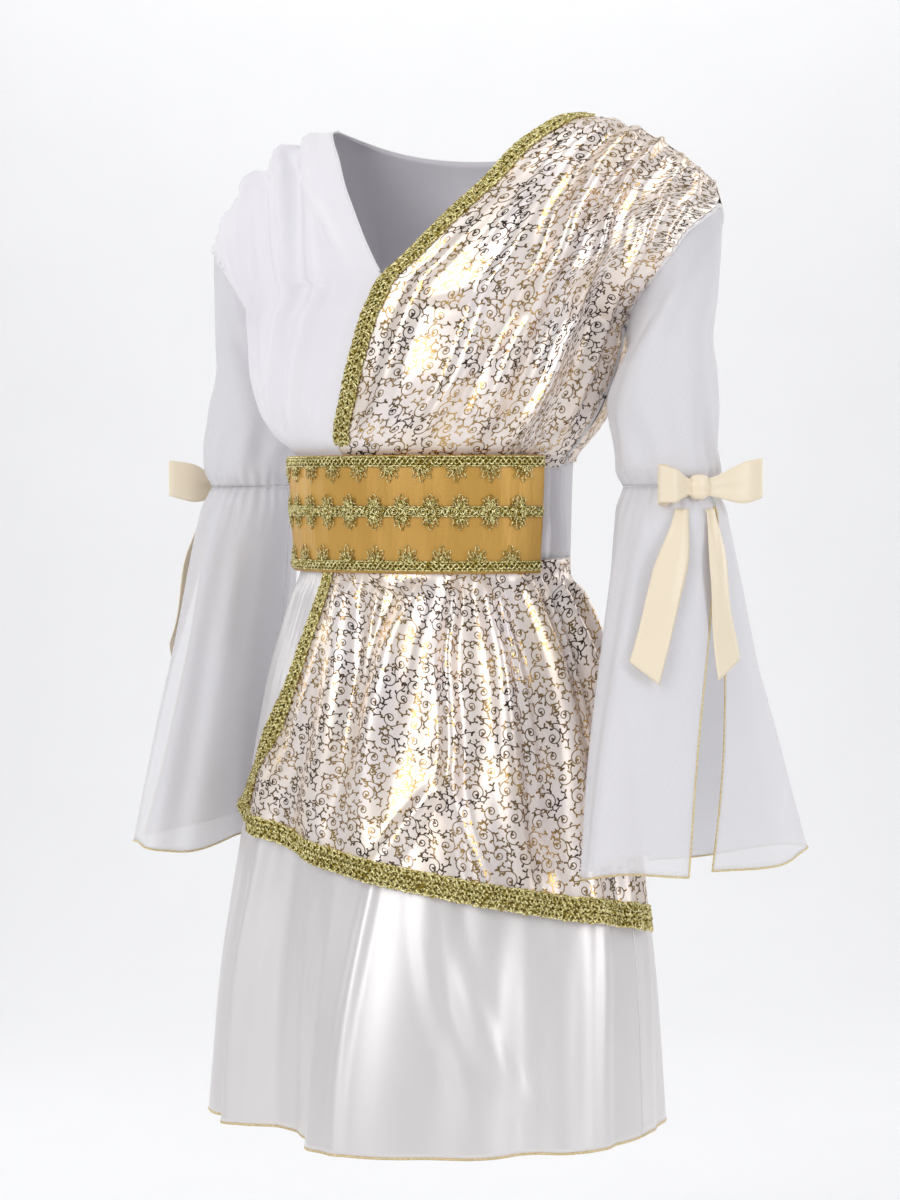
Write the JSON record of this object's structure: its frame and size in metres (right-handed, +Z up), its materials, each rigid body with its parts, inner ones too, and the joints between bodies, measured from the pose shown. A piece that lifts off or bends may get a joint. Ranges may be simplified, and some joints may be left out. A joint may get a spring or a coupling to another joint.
{
  "type": "child's greek goddess costume dress",
  "caption": "Child's costume dress with a V neck, a foil-print sash and asymmetric overskirt, a trimmed belt, a flared satin skirt and sheer bell sleeves tied with bows.",
  "frame": {"origin": "on the body axis between the shoulders, level with the neck points, where the wearer's shoulders hold the dress", "axes": "+Z up, the front of the dress faces -Y, +X is the wearer's left"},
  "size_m": [0.5144, 0.2954, 0.7427],
  "materials": {
    "white_chiffon": "soft matt chiffon over a plain backing",
    "sheer_chiffon": "sheer matt chiffon",
    "white_satin": "smooth satin with a soft sheen",
    "foil_satin": "glossy blush satin with thin metallic foil scrolls",
    "gold_braid": "metallic thread",
    "gold_satin": "gold satin",
    "cream_ribbon": "cream satin ribbon"
  },
  "bodies": {
    "root": {"bodice_front_right": "white_chiffon", "bodice_front_left": "white_chiffon", "bodice_back": "white_chiffon", "sash": "foil_satin", "sash_back": "foil_satin", "sash_braid": "gold_braid", "skirt_front": "white_satin", "skirt_back": "white_satin", "overskirt": "foil_satin", "overskirt_hem_braid": "gold_braid", "overskirt_side_braid": "gold_braid", "belt": "gold_satin", "belt_trim_top": "gold_braid", "belt_trim_middle": "gold_braid", "belt_trim_bottom": "gold_braid", "sleeve_upper_right": "sheer_chiffon", "sleeve_bell_front_right": "sheer_chiffon", "sleeve_bell_back_right": "sheer_chiffon", "bow_knot_right": "cream_ribbon", "bow_loop_large_right": "cream_ribbon", "bow_loop_small_right": "cream_ribbon", "bow_tail_front_right": "cream_ribbon", "bow_tail_back_right": "cream_ribbon", "sleeve_upper_left": "sheer_chiffon", "sleeve_bell_front_left": "sheer_chiffon", "sleeve_bell_back_left": "sheer_chiffon", "bow_knot_left": "cream_ribbon", "bow_loop_large_left": "cream_ribbon", "bow_loop_small_left": "cream_ribbon", "bow_tail_front_left": "cream_ribbon", "bow_tail_back_left": "cream_ribbon"}
  },
  "joints": []
}
